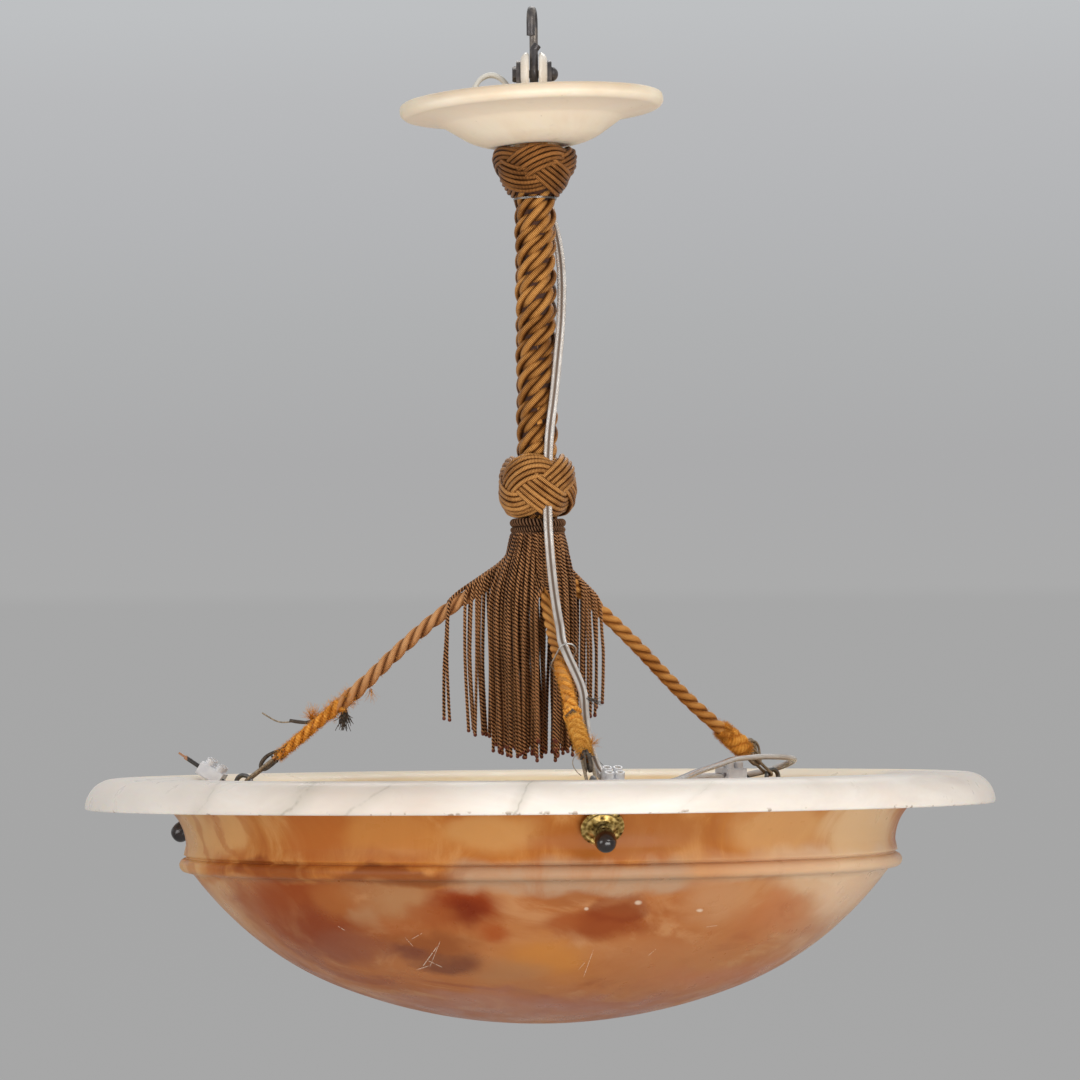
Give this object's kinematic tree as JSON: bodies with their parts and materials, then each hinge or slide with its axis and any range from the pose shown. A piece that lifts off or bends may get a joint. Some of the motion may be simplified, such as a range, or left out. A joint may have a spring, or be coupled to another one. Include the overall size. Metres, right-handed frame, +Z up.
{
  "type": "bowl pendant lamp",
  "caption": "Shallow turned stone bowl hung by cords from a roped stem with knots, a tassel, a stone canopy and an iron hook; lamps and their wiring sit inside the bowl.",
  "frame": {"origin": "seat of the iron hook, inside the top of its crown, where a ceiling ring or hook carries the lamp", "axes": "+Z up along the stem, -Y towards the viewer of the picture, +X to the viewer's right"},
  "size_m": [0.4499, 0.45, 0.5059],
  "materials": {
    "iron": "worn, nearly black",
    "disc_glaze": "old cream glaze",
    "dull_steel": "dull, slightly rusted",
    "rope": "golden brown laid rope",
    "knot_cord": "golden brown braided cord",
    "collar_cord": "dark brown cord rings",
    "tassel": "dark brown twisted strands",
    "cord": "orange-gold twisted cord",
    "cord_wire": "grey-brown twisted wire",
    "tie_wire": "thin wire",
    "canopy_stone": "polished cream alabaster with fine pits",
    "bowl_stone": "polished alabaster, cream rim and amber body",
    "stud_steel": "plain steel",
    "rosette_brass": "aged, low relief",
    "knob": "polished dark wood",
    "bracket": "grey",
    "lampholder": "black moulded",
    "bulb_glass": "pearl glass",
    "bulb_cap": "plain",
    "block_plastic": "milky, slightly clear",
    "screw_brass": "plain",
    "clear_flex": "clear sheath over two bright cores",
    "black_lead": "smooth",
    "white_lead": "smooth"
  },
  "bodies": {
    "hanger": {"ceiling_hook": "iron"},
    "canopy": {"canopy": "canopy_stone", "canopy_connector": "block_plastic", "connector_screws": "screw_brass", "supply_lead": "white_lead"},
    "bulb_front": {"bulb_front": "bulb_glass", "bulb_cap_front": "bulb_cap"},
    "bulb_right": {"bulb_right": "bulb_glass", "bulb_cap_right": "bulb_cap"},
    "bulb_left": {"bulb_left": "bulb_glass", "bulb_cap_left": "bulb_cap"},
    "knob_front": {"ball_knob_front": "knob"},
    "knob_right": {"ball_knob_right": "knob"},
    "knob_left": {"ball_knob_left": "knob"},
    "pendant": {"insulator_disc_left": "disc_glaze", "insulator_disc_right": "disc_glaze", "shackle": "dull_steel", "shackle_bolt": "dull_steel", "shackle_nut": "dull_steel", "ferrule_screw": "dull_steel", "cord_ferrule": "dull_steel", "rope_sheath": "rope", "upper_knot": "knot_cord", "lower_knot": "knot_cord", "sheath_binding": "tie_wire", "tassel_collar": "collar_cord", "tassel_skirt": "tassel", "main_flex": "clear_flex", "link_flex": "clear_flex", "flex_tie": "tie_wire", "spare_wire": "black_lead", "terminal_screws": "screw_brass", "stud_washers": "stud_steel", "stud_nuts": "stud_steel", "holder_nuts": "stud_steel", "bowl": "bowl_stone", "suspension_cord_front": "cord", "cord_wire_front": "cord_wire", "eye_stud_front": "stud_steel", "rosette_front": "rosette_brass", "lamp_bracket_front": "bracket", "lampholder_front": "lampholder", "terminal_block_front": "block_plastic", "lamp_lead_front": "black_lead", "suspension_cord_right": "cord", "cord_wire_right": "cord_wire", "eye_stud_right": "stud_steel", "rosette_right": "rosette_brass", "lamp_bracket_right": "bracket", "lampholder_right": "lampholder", "terminal_block_right": "block_plastic", "lamp_lead_right": "black_lead", "suspension_cord_left": "cord", "cord_wire_left": "cord_wire", "eye_stud_left": "stud_steel", "rosette_left": "rosette_brass", "lamp_bracket_left": "bracket", "lampholder_left": "lampholder", "terminal_block_left": "block_plastic", "lamp_lead_left": "black_lead"}
  },
  "joints": [
    {"name": "hook_swing", "type": "hinge", "parent": "hanger", "child": "pendant", "pos_m": [0, 0, -0.03], "axis": [1, 0, 0], "range_deg": [-45, 45]},
    {"name": "canopy_lift", "type": "slide", "parent": "pendant", "child": "canopy", "axis": [0, 0, 1], "range_m": [0, 0.03]},
    {"name": "knob_turn_front", "type": "hinge", "parent": "pendant", "child": "knob_front", "pos_m": [0.0281, -0.17739, -0.3992], "axis": [0.1266, -0.7991, -0.5878], "continuous": true},
    {"name": "bulb_turn_front", "type": "hinge", "parent": "pendant", "child": "bulb_front", "pos_m": [0.01564, -0.09877, -0.41], "axis": [0.1564, -0.9877, 0], "continuous": true},
    {"name": "knob_turn_right", "type": "hinge", "parent": "pendant", "child": "knob_right", "pos_m": [0.13758, 0.11545, -0.3992], "axis": [0.6197, 0.52, -0.5878], "continuous": true},
    {"name": "bulb_turn_right", "type": "hinge", "parent": "pendant", "child": "bulb_right", "pos_m": [0.0766, 0.06428, -0.41], "axis": [0.766, 0.6428, 0], "continuous": true},
    {"name": "knob_turn_left", "type": "hinge", "parent": "pendant", "child": "knob_left", "pos_m": [-0.17175, 0.05251, -0.3992], "axis": [-0.7737, 0.2365, -0.5878], "continuous": true},
    {"name": "bulb_turn_left", "type": "hinge", "parent": "pendant", "child": "bulb_left", "pos_m": [-0.09563, 0.02924, -0.41], "axis": [-0.9563, 0.2924, 0], "continuous": true}
  ]
}
